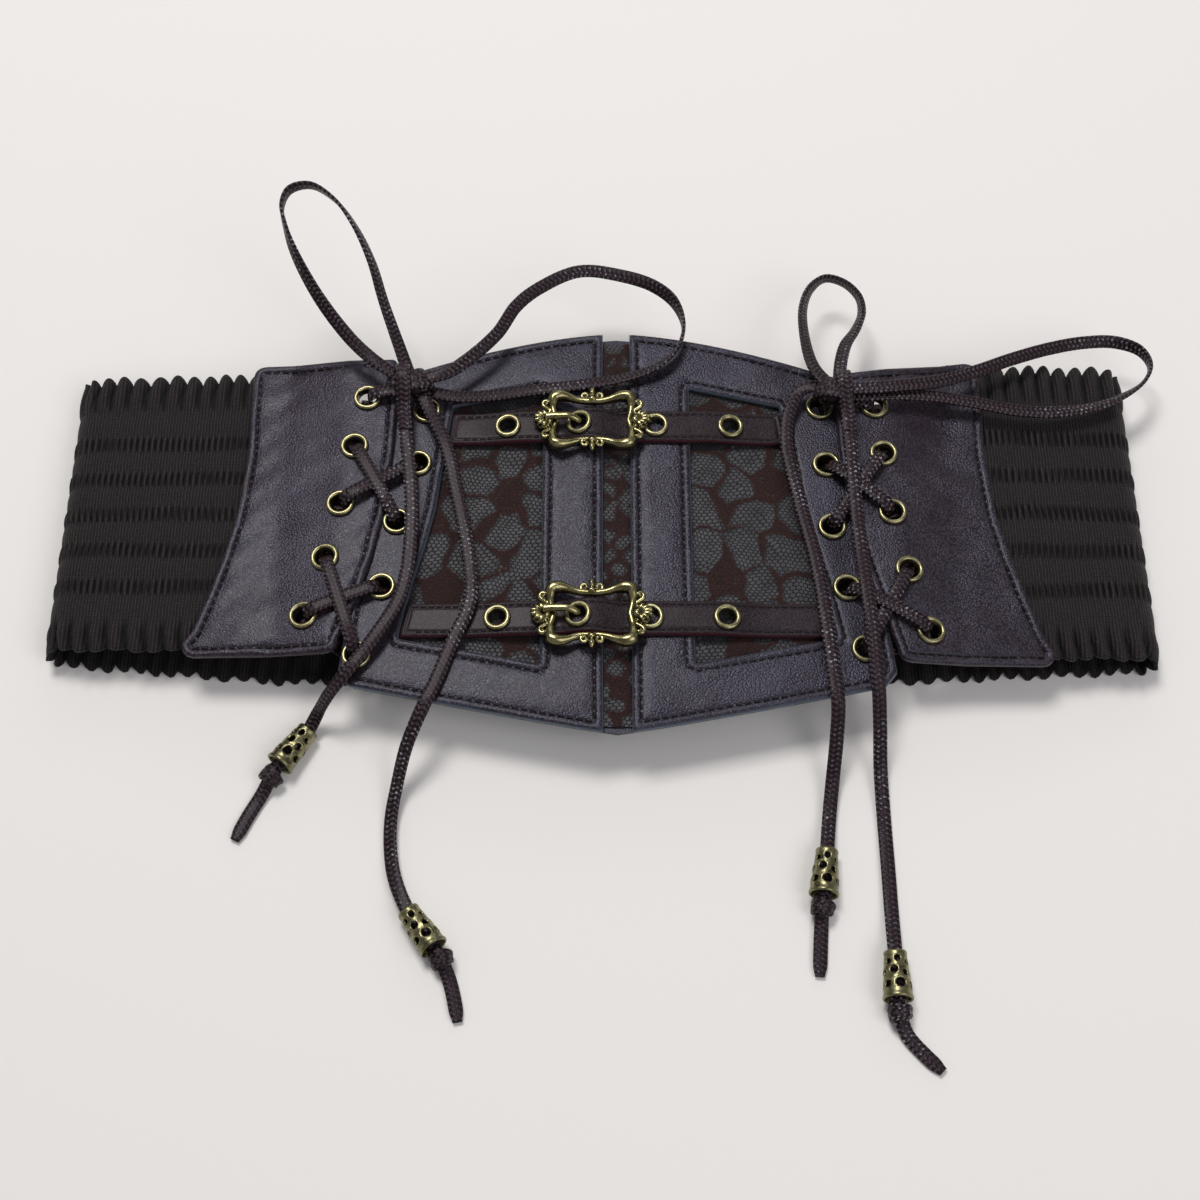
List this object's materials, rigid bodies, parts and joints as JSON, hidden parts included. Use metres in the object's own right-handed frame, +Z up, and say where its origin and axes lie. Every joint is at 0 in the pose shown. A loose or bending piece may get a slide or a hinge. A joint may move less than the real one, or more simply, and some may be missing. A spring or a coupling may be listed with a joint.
{
  "type": "corset belt",
  "caption": "Wide gathered elastic belt with a pointed leather and lace front, laced side panels, two buckled straps and tied bows with beaded ends, lying flat.",
  "frame": {"origin": "bottom centre of the belt without its loose bow loops and tails, on the surface that it lies on", "axes": "+X across the belt to the picture's right, +Y up the belt to its upper edge, +Z up out of the front"},
  "size_m": [0.3792, 0.2906, 0.0623],
  "materials": {
    "gathered_elastic": "ribbed matt",
    "floral_lace": "matt thread",
    "backing_leather": "satin",
    "plum_leather": "pearly satin",
    "strap_leather": "pearly satin with a dark red edge",
    "antique_brass": "antique with dark recesses",
    "braided_lace_cord": "waxed braid"
  },
  "bodies": {
    "root": {"elastic_band": "gathered_elastic", "front_backing": "backing_leather", "lace_panel": "floral_lace", "left_front_frame": "plum_leather", "left_outer_panel": "plum_leather", "left_outer_eyelet_1": "antique_brass", "left_outer_eyelet_2": "antique_brass", "left_outer_eyelet_3": "antique_brass", "left_outer_eyelet_4": "antique_brass", "left_outer_eyelet_5": "antique_brass", "left_inner_eyelet_1": "antique_brass", "left_inner_eyelet_2": "antique_brass", "left_inner_eyelet_3": "antique_brass", "left_inner_eyelet_4": "antique_brass", "left_inner_eyelet_5": "antique_brass", "right_front_frame": "plum_leather", "right_outer_panel": "plum_leather", "right_outer_eyelet_1": "antique_brass", "right_outer_eyelet_2": "antique_brass", "right_outer_eyelet_3": "antique_brass", "right_outer_eyelet_4": "antique_brass", "right_outer_eyelet_5": "antique_brass", "right_inner_eyelet_1": "antique_brass", "right_inner_eyelet_2": "antique_brass", "right_inner_eyelet_3": "antique_brass", "right_inner_eyelet_4": "antique_brass", "right_inner_eyelet_5": "antique_brass", "upper_strap_eyelet_1": "antique_brass", "upper_strap_eyelet_2": "antique_brass", "upper_strap_eyelet_3": "antique_brass", "upper_strap_eyelet_4": "antique_brass", "upper_strap": "strap_leather", "upper_buckle_frame": "antique_brass", "upper_buckle_prong": "antique_brass", "lower_strap_eyelet_1": "antique_brass", "lower_strap_eyelet_2": "antique_brass", "lower_strap_eyelet_3": "antique_brass", "lower_strap_eyelet_4": "antique_brass", "lower_strap": "strap_leather", "lower_buckle_frame": "antique_brass", "lower_buckle_prong": "antique_brass", "left_lacing": "braided_lace_cord", "left_bow_knot": "braided_lace_cord", "right_lacing": "braided_lace_cord", "right_bow_knot": "braided_lace_cord", "left_bow_loop_tall": "braided_lace_cord", "left_bow_loop_long": "braided_lace_cord", "right_bow_loop_short": "braided_lace_cord", "right_bow_loop_long": "braided_lace_cord", "left_tail_outer": "braided_lace_cord", "left_tail_outer_bead": "antique_brass", "left_tail_inner": "braided_lace_cord", "left_tail_inner_bead": "antique_brass", "right_tail_inner": "braided_lace_cord", "right_tail_inner_bead": "antique_brass", "right_tail_outer": "braided_lace_cord", "right_tail_outer_bead": "antique_brass"}
  },
  "joints": []
}
